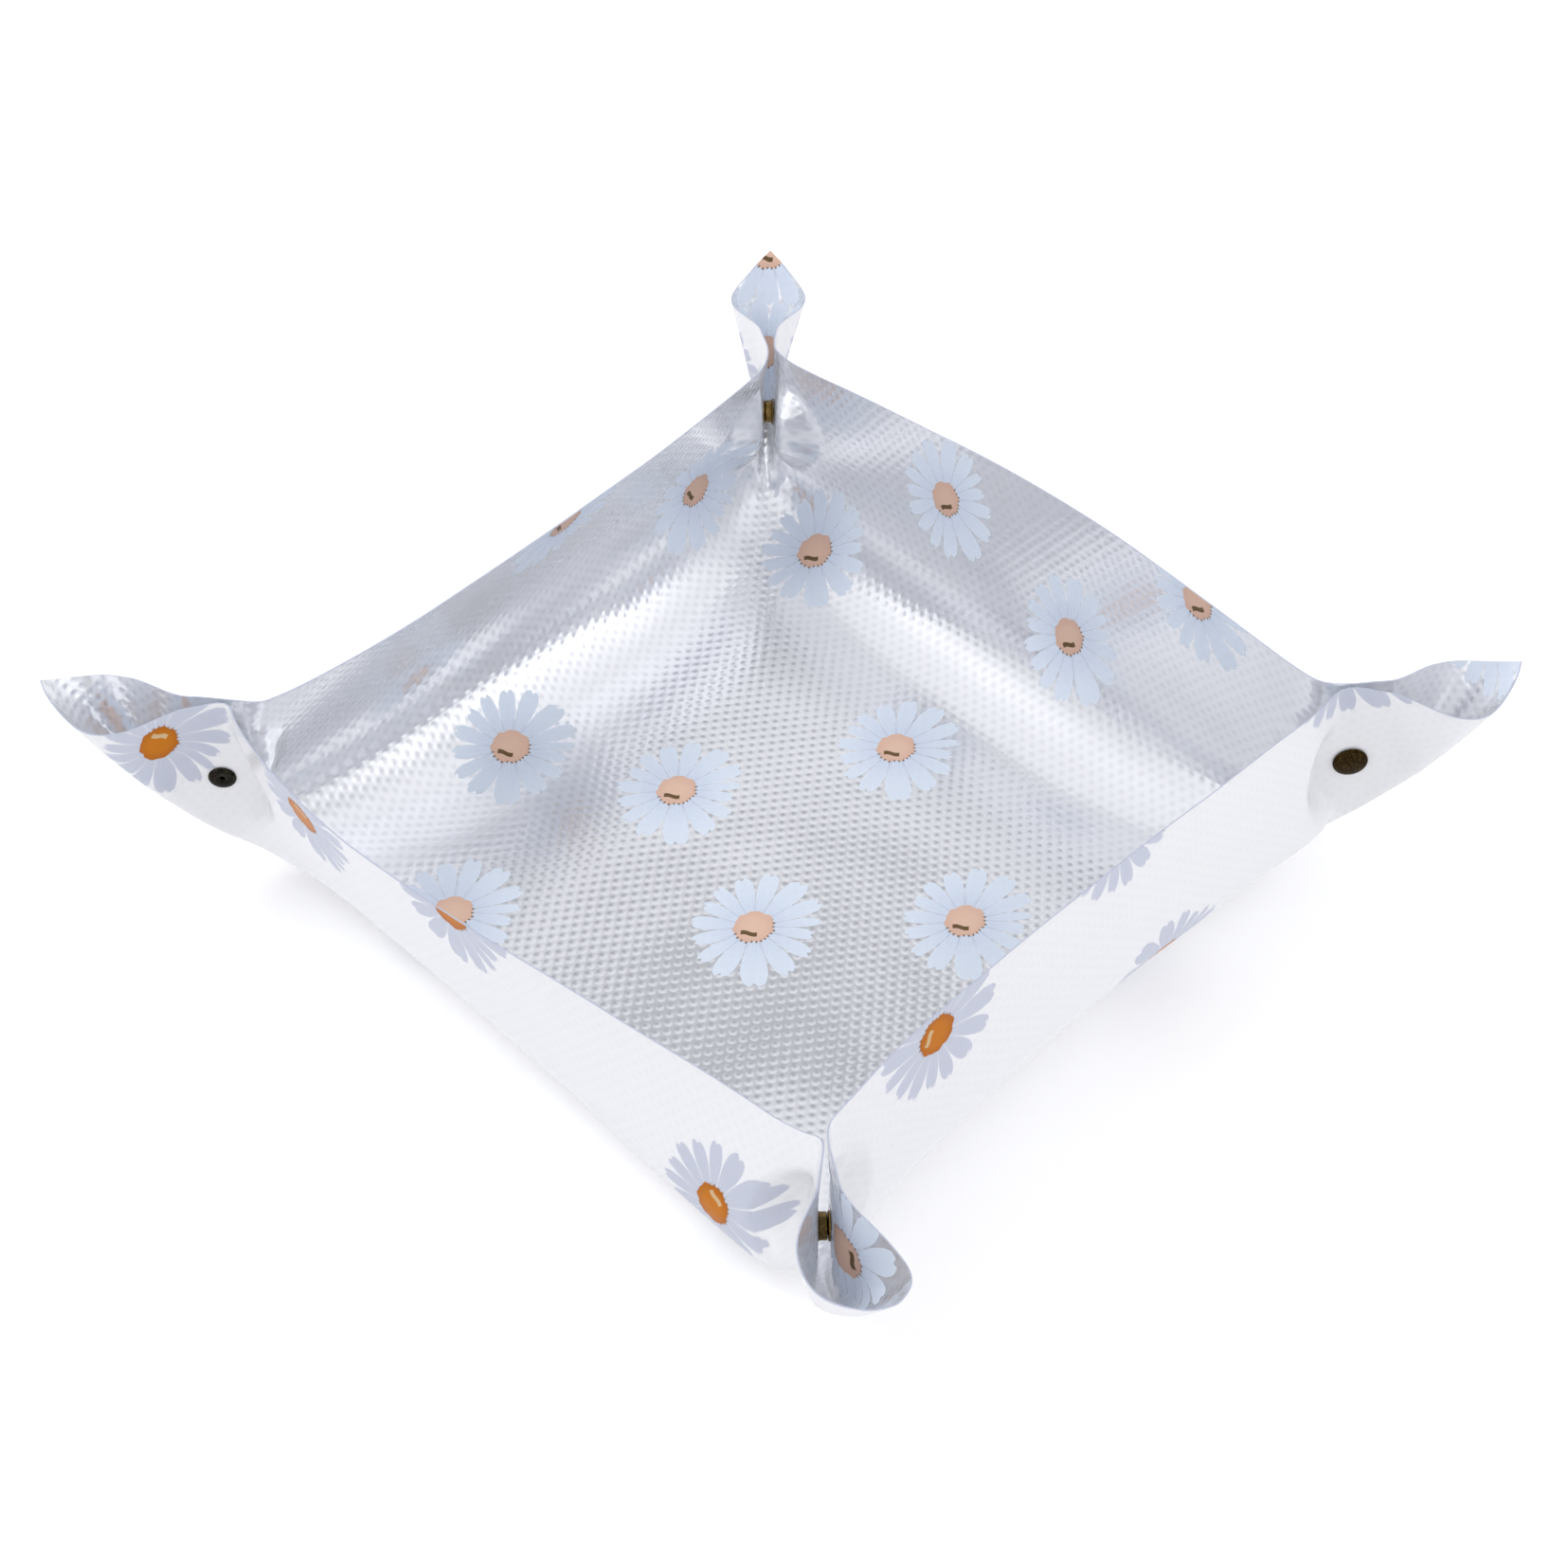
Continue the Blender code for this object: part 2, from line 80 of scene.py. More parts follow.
# The pinch, where a wall's two halves meet: its place, measured from the rim along the flat mat, half
# the gap between the plies, and the turn and bend that the walls have there.
PINCH_FROM_RIM = 0.075
PINCH_HALF_GAP = 0.0035
PINCH_TURN = 100
PINCH_BEND = 0.014
PINCH_BEND_FROM_RIM = 0.0805
# Powers of the way to the pinch, with which a wall's start, bend and slant change towards it.
START_POWER = 2.75
BEND_POWER = 2.65
SLANT_POWER = 4
PINCH_BLEND_START = 0.099
PINCH_BLEND_END = 0.074
# The fold on the diagonal rises in two steps, in degrees, each between two places from the rim.
FOLD_LIFT = 35
FOLD_LIFT_START = 0.19
FOLD_LIFT_END = 0.025
FOLD_RISE = 27
FOLD_RISE_START = 0.117
FOLD_RISE_END = 0.054
FOLD_ROUND = 0.012
FOLD_SHARPNESS = 2.9
# Beyond the pinch the flap opens into a lobe that flares at the rim, and swings to one side.
LOBE_OPENING = 0.32
LOBE_ROUND = 0.003
LOBE_FLARE_START = 0.035
LOBE_FLARE_BLEND = 0.030
LOBE_FLARE = 0.0052
FLAP_SWING_START = 0.074
FLAP_SWING_END = 0.015
FLAP_SWING_PIVOT = 0.078
CORNERS = {
    "front": dict(side=(1, -1), cap_axis=1, swing=16, dip=0.0085),
    "right": dict(side=(1, 1), cap_axis=0, swing=9, dip=0.008),
    "back": dict(side=(-1, 1), cap_axis=1, swing=-3, dip=0.0075),
    "left": dict(side=(-1, -1), cap_axis=0, swing=-3, dip=0.002),
}
# The stud's place on the flat mat, and the flat seat that its pieces press into both plies.
SNAP_FROM_RIM = 0.041
SNAP_FROM_END = 0.083
SNAP_HIGH, SNAP_LOW = HALF - SNAP_FROM_RIM, HALF - SNAP_FROM_END
CLEARANCE = 0.0003
SOCKET_HEIGHT = 0.0038
STUD_FLANGE_THICKNESS = 0.0008
SEAT_RADIUS = 0.015
SEAT_BLEND = 0.016
SEAT_HALF_GAP = (SHEET_THICKNESS + SOCKET_HEIGHT + STUD_FLANGE_THICKNESS + 3 * CLEARANCE) / 2
SHEET_HOLE = 0.0021


def s_curve(at, start, end):
    """t^2 (3 - 2t), with t the share of the way from start to end, held at 0 and 1 outside them."""
    share = np.clip((at - start) / (end - start), 0.0, 1.0)
    return share * share * (3.0 - 2.0 * share)


def running_sum(steps):
    """0, then the sum of the steps so far, along the last axis."""
    return np.concatenate([np.zeros(steps.shape[:-1] + (1,)), np.cumsum(steps, axis=-1)], axis=-1)


def fold_line(near):
    """The fold on the diagonal, where both flat coordinates equal near.

    Its slope is one S-curve of FOLD_LIFT degrees plus a later one of FOLD_RISE degrees. Distance out
    and height are the sums of cos(slope) and sin(slope) times the flat step."""
    flat = np.linspace(0.0, HALF, FOLD_STEPS + 1)
    slope = FOLD_LIFT * s_curve(flat, HALF - FOLD_LIFT_START, HALF + FOLD_LIFT_END)
    slope = np.radians(slope + FOLD_RISE * s_curve(flat, HALF - FOLD_RISE_START, HALF - FOLD_RISE_END))
    middle = (slope[1:] + slope[:-1]) / 2
    step = math.sqrt(2) * (flat[1] - flat[0])
    out, height = running_sum(np.cos(middle) * step), running_sum(np.sin(middle) * step)
    return np.interp(near, flat, out), np.interp(near, flat, height), np.interp(near, flat, slope)


def wall_points(far, near, end, wall):
    """Points of a wall as (out along the diagonal, across it, height), each reached from the fold.

    Along a line of constant near, the wall's angle grows by an S-curve from the fold's to its full turn.
    Each flat step moves across by cos(angle) / sqrt 2, and the rest of its length goes out and up at
    the line's tilt. In the flap the distance across is instead a superellipse between the flat
    distance from the fold and the lobe's opening."""
    out, height, slope = fold_line(near)
    near, far, end = near[:, None], far[:, None], end[:, None]
    at = near + (far - near) * np.linspace(0.0, 1.0, WALL_STEPS + 1)[None]
    step = (far - near) / WALL_STEPS
    slope = slope[:, None]

    pinch = HALF - PINCH_FROM_RIM
    to_pinch = np.clip(near / pinch, 0.0, 1.0)
    uneven = end * to_pinch * (1.0 - to_pinch**SLANT_POWER)
    start_mid = HALF - WALL_WIDTH * wall["width_share"]
    start = start_mid + (HALF - PINCH_BEND_FROM_RIM - start_mid) * to_pinch**START_POWER
    start = start + WALL_WIDTH * wall["slant_share"] * uneven
    bend_mid = WALL_BEND * wall["bend_share"]
    bend = bend_mid + (PINCH_BEND - bend_mid) * to_pinch**BEND_POWER
    turn = wall["turn"] + (PINCH_TURN - wall["turn"]) * to_pinch**2 + wall["turn_slant"] * uneven
    first = np.arcsin(np.sin(slope) / math.sqrt(2))
    angle = first + (np.radians(turn) - first) * s_curve(at, start, start + bend)
    wall_across = running_sum((np.cos(angle[:, 1:]) + np.cos(angle[:, :-1])) / 2 * step / math.sqrt(2))
    wall_tilt = np.arctan2(np.sin(angle), np.cos(angle) / math.sqrt(2))

    from_fold = (at - near) / math.sqrt(2)
    beyond = np.maximum(near - pinch, 0.0)
    opening = PINCH_HALF_GAP + LOBE_OPENING * (np.hypot(beyond, LOBE_ROUND) - LOBE_ROUND)
    flare = np.maximum(at - (HALF - LOBE_FLARE_START), 0.0) / LOBE_FLARE_START
    opening = opening + LOBE_FLARE * flare * s_curve(near, pinch, pinch + LOBE_FLARE_BLEND)
    flap_across = from_fold / (1.0 + (from_fold / opening) ** FOLD_SHARPNESS) ** (1.0 / FOLD_SHARPNESS)
    flap_tilt = slope + (math.pi / 2 - slope) * s_curve(at - near, 0.0, FOLD_ROUND)

    blend = s_curve(near, HALF - PINCH_BLEND_START, HALF - PINCH_BLEND_END)
    across = wall_across + (flap_across - wall_across) * blend
    tilt = wall_tilt + (flap_tilt - wall_tilt) * blend
    run = np.sqrt(np.maximum(step**2 - np.diff(across, axis=1) ** 2, 0.0))
    tilt = (tilt[:, 1:] + tilt[:, :-1]) / 2
    out = out + (run * np.cos(tilt)).sum(axis=1)
    height = height + (run * np.sin(tilt)).sum(axis=1)
    return np.stack([out, across[:, -1], height], axis=1)


def free_points(x, y):
    """The sheet's middle in space for flat places x and y. Past the pinch each flap turns about an
    upright axis by an S-curve of its swing, and sinks by the same S-curve of its dip."""
    far, near = np.maximum(abs(x), abs(y)), np.minimum(abs(x), abs(y))
    side_x, side_y = np.where(x < 0, -1.0, 1.0), np.where(y < 0, -1.0, 1.0)
    on_x_wall = abs(x) >= abs(y)
    points = np.empty((len(x), 3))
    for wall in WALLS.values():
        if wall["axis"] == 0:
            chosen, end = on_x_wall & (side_x == wall["sign"]), side_y
        else:
            chosen, end = ~on_x_wall & (side_y == wall["sign"]), side_x
        if not chosen.any():
            continue
        out, across, height = wall_points(far[chosen], near[chosen], end[chosen], wall).T
        outer, inner = (out + across) / math.sqrt(2), (out - across) / math.sqrt(2)
        along_x, along_y = (outer, inner) if wall["axis"] == 0 else (inner, outer)
        points[chosen] = np.stack([along_x, along_y, height], axis=1)
    pivot = HALF - FLAP_SWING_PIVOT
    for corner in CORNERS.values():
        chosen = (side_x == corner["side"][0]) & (side_y == corner["side"][1])
        share = s_curve(near[chosen], HALF - FLAP_SWING_START, HALF - FLAP_SWING_END)
        turn = np.radians(corner["swing"]) * share * corner["side"][0] * corner["side"][1]
        from_x, from_y = points[chosen, 0] - pivot, points[chosen, 1] - pivot
        points[chosen, 0] = pivot + from_x * np.cos(turn) - from_y * np.sin(turn)
        points[chosen, 1] = pivot + from_x * np.sin(turn) + from_y * np.cos(turn)
        points[chosen, 2] -= corner["dip"] * share
    points[:, 0] *= side_x
    points[:, 1] *= side_y
    return points


def corner_axes(corner):
    """The unit vectors out along the diagonal, and across it towards the cap's wall."""
    side_x, side_y = corner["side"]
    towards = 1.0 if corner["cap_axis"] == 0 else -1.0
    root = math.sqrt(2)
    return np.array([side_x, side_y, 0.0]) / root, towards * np.array([side_x, -side_y, 0.0]) / root


def stud_place(corner):
    """The middle between the plies at the stud, and the direction towards the rim, both in the plane of
    the diagonal."""
    out, across = corner_axes(corner)
    side_x, side_y = corner["side"]
    x = np.array([SNAP_HIGH, SNAP_LOW, SNAP_HIGH + SEAT_RADIUS, SNAP_LOW]) * side_x
    y = np.array([SNAP_LOW, SNAP_HIGH, SNAP_LOW, SNAP_HIGH + SEAT_RADIUS]) * side_y
    points = free_points(x, y)
    points -= np.outer(points @ across, across)
    up = points[2] + points[3] - points[0] - points[1]
    return (points[0] + points[1]) / 2, up / np.linalg.norm(up)


def mat_points(x, y):
    """free_points, with the sheet drawn to a flat seat round each stud's two holes, and the middle
    surface raised by half the thickness so that the underside rests on z = 0."""
    points = free_points(x, y)
    for corner in CORNERS.values():
        out, across = corner_axes(corner)
        centre, up = stud_place(corner)
        along = out * up[2] - np.array([0.0, 0.0, 1.0]) * (up @ out)
        side_x, side_y = corner["side"]
        for axis in (0, 1):
            leaf = 1.0 if axis == corner["cap_axis"] else -1.0
            far_by = (x * side_x if axis == 0 else y * side_y) - SNAP_HIGH
            near_by = (y * side_y if axis == 0 else x * side_x) - SNAP_LOW
            weight = 1.0 - s_curve(np.hypot(far_by, near_by), SEAT_RADIUS, SEAT_RADIUS + SEAT_BLEND)
            seat = centre + leaf * SEAT_HALF_GAP * across + np.outer(far_by, up) + np.outer(near_by, along)
            points += weight[:, None] * (seat - points)
    points[:, 2] += SHEET_THICKNESS / 2
    return points


# The daisies' centres on the flat mat, in millimetres along X and Y. Some are past its cut edge, so that
# only a part of the flower is on the mat.
DAISY_PLACES = np.array([
    (-136, -36), (-65, -2), (-12, 86), (15, -38), (78, 27), (-122, 154), (-190, 121), (-57, 217),
    (25, 182), (91, 247), (-83, -121), (-14, -252), (-103, -235), (-189, -236), (119, -193), (240, -95),
    (-247, 15), (223, -187), (-250, 250), (-215, 213), (264, 158), (263, 12), (170, 50), (238, 264),
])
# The steps from a hole's own grid point to the eight round it.
AROUND = [(a, b) for a in (-1, 0, 1) for b in (-1, 0, 1) if (a, b) != (0, 0)]


def flat_grid():
    """The flat mat as a square grid of CELL, with the cells over each stud's hole taken out.

    The eight points round each gap are moved onto the hole's circle, each in its own direction."""
    lines = np.linspace(-HALF, HALF, round(MAT_SIDE / CELL) + 1)
    x, y = (side.copy() for side in np.meshgrid(lines, lines, indexing="ij"))
    kept = np.ones((len(lines) - 1,) * 2, bool)
    for side_x, side_y in (corner["side"] for corner in CORNERS.values()):
        for hole in ((SNAP_HIGH * side_x, SNAP_LOW * side_y), (SNAP_LOW * side_x, SNAP_HIGH * side_y)):
            i, j = (int(round((at + HALF) / CELL)) for at in hole)
            kept[i - 1 : i + 1, j - 1 : j + 1] = False
            for a, b in AROUND:
                from_x, from_y = x[i + a, j + b] - hole[0], y[i + a, j + b] - hole[1]
                share = SHEET_HOLE / math.hypot(from_x, from_y)
                x[i + a, j + b], y[i + a, j + b] = hole[0] + from_x * share, hole[1] + from_y * share
    return x, y, kept


flat_x, flat_y, kept_cells = flat_grid()
count = len(flat_x)
middle = mat_points(flat_x.ravel(), flat_y.ravel()).reshape(count, count, 3)
# The sheet's normal is the cross product of the steps along the grid's two directions.
normals = np.cross(np.gradient(middle, axis=0), np.gradient(middle, axis=1))
normals /= np.linalg.norm(normals, axis=2, keepdims=True)
upper = middle + normals * SHEET_THICKNESS / 2
lower = middle - normals * SHEET_THICKNESS / 2

# Each cell is two triangles, split along the fold that runs to its own corner of the mat.
index = np.arange(count * count).reshape(count, count)
cell_corners = np.stack([index[:-1, :-1], index[1:, :-1], index[1:, 1:], index[:-1, 1:]], axis=-1)
cell_x = (flat_x[1:, 1:] + flat_x[:-1, :-1] + flat_x[1:, :-1] + flat_x[:-1, 1:]) / 4
cell_y = (flat_y[1:, 1:] + flat_y[:-1, :-1] + flat_y[1:, :-1] + flat_y[:-1, 1:]) / 4
splits_up = (cell_x * cell_y > 0)[..., None]
first = np.where(splits_up, cell_corners[..., [0, 1, 2]], cell_corners[..., [0, 1, 3]])
second = np.where(splits_up, cell_corners[..., [0, 2, 3]], cell_corners[..., [1, 2, 3]])
top_faces = np.stack([first, second], axis=2)[kept_cells].reshape(-1, 3)
flat = np.stack([flat_x.ravel(), flat_y.ravel()], axis=1)
face_place = flat[top_faces].mean(axis=1)


def add_layer(mesh, name, kind, values):
    """Stores one value for each face corner as a named attribute."""
    layer = mesh.attributes.new(name, kind, "CORNER")
    layer.data.foreach_set("value" if kind == "FLOAT" else "vector", values.astype(np.float32).ravel())


def sheet_piece(name, chosen):
    """A part of the sheet as upper and lower faces, closed by a band along its edges.

    The sides are numbered: 0 upper, 1 lower, 2 the mat's own cut edge, 3 a seam between two parts."""
    total = count * count
    # An edge is one number: its smaller point times the number of points, plus its larger one.
    way = np.array([total, 1])
    every_edge = np.sort(top_faces[:, [0, 1, 1, 2, 2, 0]].reshape(-1, 2), axis=1) @ way
    found, times = np.unique(every_edge, return_counts=True)
    faces = top_faces[chosen]
    edges = faces[:, [0, 1, 1, 2, 2, 0]].reshape(-1, 2)
    own, first_at, uses = np.unique(np.sort(edges, axis=1) @ way, return_index=True, return_counts=True)
    on_border = uses == 1
    a, b = edges[first_at[on_border]].T
    kind = np.where(np.isin(own[on_border], found[times == 1]), 2.0, 3.0)
    band = np.concatenate([np.stack([b, a, a + total], 1), np.stack([b, a + total, b + total], 1)])
    every = np.concatenate([faces, faces[:, ::-1] + total, band])
    side = np.concatenate([np.zeros(len(faces)), np.ones(len(faces)), kind, kind])
    points = np.concatenate([upper.reshape(-1, 3), lower.reshape(-1, 3)])
    point_normals = np.concatenate([normals.reshape(-1, 3), -normals.reshape(-1, 3)])
    used, small = np.unique(every, return_inverse=True)
    small = small.reshape(every.shape)
    mesh = bpy.data.meshes.new(name)
    mesh.from_pydata(points[used].tolist(), [], small.tolist())
    mesh.update()

    # The print and the dimples follow the flat mat: each face corner stores its flat place, and where it
    # lies from the centre of the daisy that is nearest to its face.
    place = flat[every.ravel() % total]
    centre = flat[every % total].mean(axis=1)
    daisies = DAISY_PLACES / 1000
    nearest = ((centre[:, None] - daisies[None]) ** 2).sum(axis=2).argmin(axis=1)
    nearest = np.repeat(nearest, 3)
    local = np.column_stack([(place - daisies[nearest]) * 1000, np.zeros(len(place))])
    uv = mesh.uv_layers.new(name="flat_place", do_init=False)
    uv.uv.foreach_set("vector", (place / MAT_SIDE + 0.5).astype(np.float32).ravel())
    add_layer(mesh, "daisy_place", "FLOAT_VECTOR", local)
    add_layer(mesh, "sheet_side", "FLOAT", np.repeat(side, 3))

    # The faces are shaded as one smooth sheet, and the band along the edges is flat.
    corner_normals = point_normals[every.ravel()]
    flat_band = np.cross(points[every[:, 1]] - points[every[:, 0]], points[every[:, 2]] - points[every[:, 0]])
    flat_band /= np.linalg.norm(flat_band, axis=1, keepdims=True)
    on_band = np.repeat(side > 1.5, 3)
    corner_normals[on_band] = np.repeat(flat_band, 3, axis=0)[on_band]
    mesh.shade_smooth()
    mesh.normals_split_custom_set(corner_normals.tolist())
    made = bpy.data.objects.new(name, mesh)
    bpy.context.scene.collection.objects.link(made)
    return made


# Each stud's cap sits on one ply of its pinch. That ply is a piece of its own, from the fold to the
# wall's middle.
LEAF_START = 0.05
ply_objects = []
in_ply = np.zeros(len(top_faces), bool)
for corner_name, corner in CORNERS.items():
    axis = corner["cap_axis"]
    far_at = face_place[:, axis] * corner["side"][axis]
    near_at = face_place[:, 1 - axis] * corner["side"][1 - axis]
    chosen = (near_at > LEAF_START) & (far_at > near_at)
    in_ply |= chosen
    ply = sheet_piece(f"mat_ply_{corner_name}", chosen)
    direction = np.zeros(3)
    direction[1 - axis] = corner["side"][1 - axis]
    direction[2] = 1.0
    direction /= math.sqrt(2)
    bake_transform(ply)
    ply_objects.append(ply)
mat_body = sheet_piece("mat_body", ~in_ply)
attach(mat_body, "mat")
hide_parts("mat_sheet")
float((~in_ply).sum()) * CELL**2 / 2


class Value:
    """A number in a node tree: Python's operators on it add Math nodes."""

    def __init__(self, nodes, socket):
        self.nodes = nodes
        self.socket = socket

    def _with(self, operation, *others):
        return self.nodes.make("ShaderNodeMath", {"operation": operation}, *others)

    def __add__(self, other):
        return self._with("ADD", self, other)

    def __radd__(self, other):
        return self._with("ADD", other, self)

    def __sub__(self, other):
        return self._with("SUBTRACT", self, other)

    def __rsub__(self, other):
        return self._with("SUBTRACT", other, self)

    def __mul__(self, other):
        return self._with("MULTIPLY", self, other)

    def __rmul__(self, other):
        return self._with("MULTIPLY", other, self)

    def __truediv__(self, other):
        return self._with("DIVIDE", self, other)

    def __rtruediv__(self, other):
        return self._with("DIVIDE", other, self)

    def __neg__(self):
        return self._with("MULTIPLY", self, -1.0)

    def least(self, other):
        return self._with("MINIMUM", self, other)

    def most(self, other):
        return self._with("MAXIMUM", self, other)

    def over(self, limit):
        return self._with("GREATER_THAN", self, limit)

    def apply(self, operation, *others):
        return self._with(operation, self, *others)

    def ramp(self, start, end):
        """0 at start, 1 at end, and an S-curve between."""
        settings = {"interpolation_type": "SMOOTHSTEP"}
        if start < end:
            return self.nodes.make("ShaderNodeMapRange", settings, self, start, end, 0.0, 1.0)
        return self.nodes.make("ShaderNodeMapRange", settings, self, end, start, 1.0, 0.0)


class Nodes:
    """One material's or the world's node tree."""

    def __init__(self, owner):
        owner.use_nodes = True
        self.tree = owner.node_tree
        self.tree.nodes.clear()

    def make(self, kind, settings=None, *inputs, output=0, **named):
        """A node of that kind. Settings come first, then inputs by order or by name."""
        node = self.tree.nodes.new(kind)
        for key, value in (settings or {}).items():
            setattr(node, key, value)
        for key, value in [*enumerate(inputs), *named.items()]:
            socket = node.inputs[key.replace("_", " ") if isinstance(key, str) else key]
            if isinstance(value, Value):
                self.tree.links.new(value.socket, socket)
            elif value is not None:
                socket.default_value = value
        return Value(self, node.outputs[output]) if node.outputs else None

    def mixed(self, share, a, b):
        """Colour a where share is 0 and b where it is 1."""
        node = self.tree.nodes.new("ShaderNodeMix")
        node.data_type = "RGBA"
        for socket, value in ((node.inputs[0], share), (node.inputs[6], a), (node.inputs[7], b)):
            if isinstance(value, Value):
                self.tree.links.new(value.socket, socket)
            else:
                socket.default_value = value
        return Value(self, node.outputs[2])


def paint(red, green, blue):
    """A screen colour, 0 to 255, as a linear one."""
    parts = np.array([red, green, blue]) / 255
    linear = np.where(parts <= 0.04045, parts / 12.92, ((parts + 0.055) / 1.055) ** 2.4)
    return (*linear.tolist(), 1.0)


# The plastic is clear with a pearly gloss, and embossed with small overlapping scales. The daisies are
# printed on the upper face and show through from below in duller blue and in amber.
plastic = bpy.data.materials.new("clear_embossed_plastic")
n = Nodes(plastic)
place = n.make("ShaderNodeAttribute", {"attribute_name": "daisy_place"}, output=1)
local_x = n.make("ShaderNodeSeparateXYZ", None, place, output=0)
local_y = n.make("ShaderNodeSeparateXYZ", None, place, output=1)
side = n.make("ShaderNodeAttribute", {"attribute_name": "sheet_side"}, output=2)
seam = side.over(2.5)
cut_edge = side.over(1.5)
below = side.over(0.5) * (1.0 - cut_edge)

# Every daisy is the same and lies the same way. Its petals, as (first degree, last degree, length in
# millimetres), run anticlockwise from the line at FLOWER_TURN degrees to +X. A petal's outline is
# (share of its width, share of its length), with a notch near the middle of its tip.
FLOWER_TURN = 40
PETALS = (
    (-18, 3, 26), (3, 18, 29.5), (18, 40, 32.5), (40, 66, 33.5), (66, 90, 32), (90, 117, 28.5),
    (117, 141, 27), (141, 165, 25), (165, 190, 27), (190, 213, 27.5), (213, 232, 30.5), (232, 257, 32),
    (257, 289, 34), (289, 318, 30.5), (318, 342, 28.5),
)
PETAL_EDGE = (
    (0.0, 0.52), (0.1, 0.8), (0.24, 0.95), (0.4, 1.0), (0.5, 0.92), (0.6, 0.98), (0.78, 0.93), (0.9, 0.78)
)
PETAL_TILT = 0.04
PARTING_WIDTH = 0.32
MOST_LENGTH = 36.0
MOST_PARTING = 20
HEART_RADIUS = 8.7
STROKE_LEFT = 1.9
STROKE_DOWN = 3.9
STROKE_HALF_LENGTH = 3.5
STROKE_HALF_WIDTH = 1.15
DOTS_AROUND = 26
RAYS_AROUND = 47
# Half the width over which an edge in the print fades, in millimetres.
SOFT = 0.2
FINE = 0.15


def curve_of(value, points):
    """A value from 0 to 1 through a curve of straight runs between the points."""
    curve = n.make("ShaderNodeFloatCurve", None, 1.0, value)
    line = curve.socket.node.mapping.curves[0]
    line.points[0].location = points[0]
    line.points[1].location = points[-1]
    for at in points[1:-1]:
        line.points.new(*at)
    for point in line.points:
        point.handle_type = "VECTOR"
    curve.socket.node.mapping.update()
    return curve


flower_turn = math.radians(FLOWER_TURN)
right_by = local_x * math.cos(flower_turn) + local_y * math.sin(flower_turn)
up_by = local_y * math.cos(flower_turn) - local_x * math.sin(flower_turn)
radius = (right_by * right_by + up_by * up_by).apply("SQRT")
angle = (-up_by).apply("ARCTAN2", -right_by) / (2 * math.pi) + 0.5
outline, parting = [], []
for number, (start, end, length) in enumerate(PETALS):
    tilt = PETAL_TILT * (-1) ** number
    for share, reach in PETAL_EDGE:
        at = (start + (end - start) * share) % 360 / 360
        outline.append((at, length * (reach + (share - 0.5) * tilt) / MOST_LENGTH))
    half_width = (end - start) / 2
    parting += [(start % 360 / 360, 0.0), ((start + half_width) % 360 / 360, half_width / MOST_PARTING)]
outline, parting = sorted(outline), sorted(parting)
for points in (outline, parting):
    across_zero = (points[0][1] + points[-1][1]) / 2
    points.insert(0, (0.0, across_zero))
    points.append((1.0, across_zero))
edge = curve_of(angle, outline) * MOST_LENGTH
from_parting = curve_of(angle, parting) * radius * math.radians(MOST_PARTING)
petals = (edge - radius).ramp(-FINE, FINE)
petals = petals * (1.0 - (PARTING_WIDTH - from_parting).ramp(0.0, 0.14) * radius.ramp(11.0, 19.0))
turned = angle * (2 * math.pi)
heart_edge = (turned * 7).apply("SINE") * 0.3 + (turned * 12).apply("COSINE") * 0.2
oval = (local_x * local_x * 1.15 + local_y * local_y * 0.87).apply("SQRT") + heart_edge
heart = (HEART_RADIUS - oval).ramp(-SOFT, SOFT)

# A short wavy stroke lies in the lower half of the centre, and small dots follow its lower rim.
along_stroke = right_by + STROKE_LEFT
across_stroke = up_by + STROKE_DOWN + (along_stroke * 0.75).apply("SINE") * 0.55
stroke = (STROKE_HALF_WIDTH - across_stroke.apply("ABSOLUTE")).ramp(-FINE, FINE)
stroke = stroke * (STROKE_HALF_LENGTH - along_stroke.apply("ABSOLUTE")).ramp(-SOFT, SOFT)
dots = (turned * DOTS_AROUND).apply("SINE").ramp(0.2, 0.7)
dots = dots * (oval - (HEART_RADIUS + 0.1)).apply("ABSOLUTE").ramp(0.75, 0.45)
dots = dots * (up_by - right_by * 0.5).ramp(2.0, -1.0)
printed = petals.most(heart)

# Fine darker rays run out from the centre, and the partings between petals are darkest near it.
rays = (turned * RAYS_AROUND).apply("SINE").ramp(0.5, 1.0) * radius.ramp(8.0, 9.5) * radius.ramp(19.0, 11.0)
partings = (0.55 - from_parting).ramp(0.0, 0.4) * radius.ramp(22.0, 12.0)
lines = (rays * 0.5).most(partings)
upper_petal = n.mixed(radius.ramp(9.0, 28.0), paint(216, 227, 243), paint(223, 233, 246))
upper_petal = n.mixed(lines * 0.45, upper_petal, paint(168, 176, 196))
lower_petal = n.mixed(lines * 0.6, paint(204, 207, 220), paint(234, 235, 240))
upper_heart = n.mixed(radius.ramp(3.0, 9.0), paint(215, 182, 162), paint(209, 173, 155))
upper_heart = n.mixed(stroke, upper_heart, paint(100, 78, 50))
lower_heart = n.mixed(radius.ramp(4.0, 9.0), paint(188, 110, 0), paint(172, 96, 0))
lower_heart = n.mixed(stroke, lower_heart, paint(198, 170, 130))
# The plain film's underside is painted a little whiter than its upper face: painted light on one clear sheet.
plain = n.mixed(below, paint(240, 241, 244), paint(249, 249, 251))
plain = n.mixed(cut_edge, plain, paint(176, 182, 200))
petal_color = n.mixed(below, upper_petal, lower_petal)
heart_color = n.mixed(below, upper_heart, lower_heart)
dot_color = n.mixed(below, paint(112, 90, 66), paint(150, 92, 20))
color = n.mixed(petals * (1.0 - cut_edge), plain, petal_color)
color = n.mixed(heart * (1.0 - cut_edge), color, heart_color)
color = n.mixed(dots * (1.0 - cut_edge), color, dot_color)

